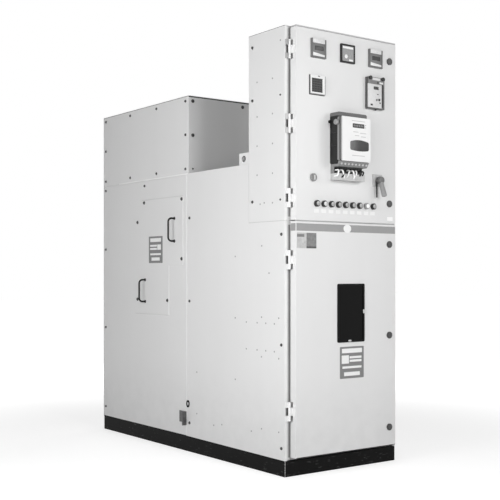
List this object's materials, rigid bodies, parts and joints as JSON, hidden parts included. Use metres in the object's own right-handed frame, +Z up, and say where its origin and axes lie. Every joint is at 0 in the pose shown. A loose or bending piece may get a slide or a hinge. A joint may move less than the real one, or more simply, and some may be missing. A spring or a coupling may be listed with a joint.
{
  "type": "high-voltage switchgear panel",
  "caption": "Floor-standing sheet-steel switchgear cubicle: instrument tower with meters and lamps, hinged front doors, viewing window, low body and raised rear busbar chamber.",
  "frame": {"origin": "middle of the base frame's footprint, at floor level", "axes": "+Z up, -Y towards the front doors, +X to the right seen from the front"},
  "size_m": [0.8175, 2.03, 2.25],
  "materials": {
    "grey_paint": "satin powder coat",
    "black_paint": "satin",
    "black_plastic": "moulded",
    "dark_steel": "dull plated",
    "black_rubber": "extruded",
    "grey_plastic": "moulded",
    "white_plastic": "moulded",
    "dark_plastic": "moulded",
    "pale_plastic": "moulded",
    "lamp_plastic": "tinted lens",
    "plate_metal": "brushed",
    "window_glass": "clear"
  },
  "bodies": {
    "cabinet": {"base_front_channel": "black_paint", "base_rear_channel": "black_paint", "base_left_channel": "black_paint", "base_right_channel": "black_paint", "floor_plate": "grey_paint", "left_side_sheet": "grey_paint", "right_side_sheet": "grey_paint", "rear_side_covers": "grey_paint", "access_cover": "grey_paint", "access_cover_handles": "black_plastic", "earth_terminal": "dark_steel", "roof_sheet": "grey_paint", "rear_covers": "grey_paint", "chamber_side_covers": "grey_paint", "chamber_front_cover": "grey_paint", "chamber_rear_cover": "grey_paint", "chamber_top_cover": "grey_paint", "tower_sides": "grey_paint", "tower_top": "grey_paint", "tower_rear": "grey_paint", "tower_floor": "grey_paint", "compartment_barrier": "grey_paint", "door_posts": "grey_paint", "door_rails": "grey_paint", "door_gaskets": "black_rubber", "lifting_lugs": "grey_paint", "fixed_hinge_leaves": "grey_paint"},
    "instrument_door": {"instrument_door": "grey_paint", "instrument_door_hinges": "grey_paint", "square_meters": "grey_plastic", "annunciator": "white_plastic", "protection_relay": "dark_plastic", "energy_meter_case": "black_plastic", "energy_meter_cover": "white_plastic", "meter_terminal_block": "pale_plastic", "indicator_lamps": "lamp_plastic", "instrument_door_locks": "dark_steel", "switch_plates": "plate_metal"},
    "breaker_door": {"breaker_door": "grey_paint", "breaker_door_hinges": "grey_paint", "window_frame": "black_rubber", "window_pane": "window_glass", "breaker_door_locks": "dark_steel"},
    "control_switch": {"control_switch_handle": "grey_plastic"},
    "selector": {"selector_knob": "grey_plastic"}
  },
  "joints": [
    {"name": "instrument_door_swing", "type": "hinge", "parent": "cabinet", "child": "instrument_door", "pos_m": [-0.358, -0.958, 1.7615], "axis": [0, 0, -1], "range_deg": [0, 110]},
    {"name": "breaker_door_swing", "type": "hinge", "parent": "cabinet", "child": "breaker_door", "pos_m": [-0.358, -0.958, 0.704], "axis": [0, 0, -1], "range_deg": [0, 110]},
    {"name": "control_switch_turn", "type": "hinge", "parent": "instrument_door", "child": "control_switch", "pos_m": [0.206, -1.008, 1.505], "axis": [0, 1, 0], "range_deg": [-45, 45], "stiffness_Nm_per_rad": 0.6},
    {"name": "selector_turn", "type": "hinge", "parent": "instrument_door", "child": "selector", "pos_m": [-0.239, -1.008, 1.496], "axis": [0, 1, 0], "range_deg": [-45, 45]}
  ]
}
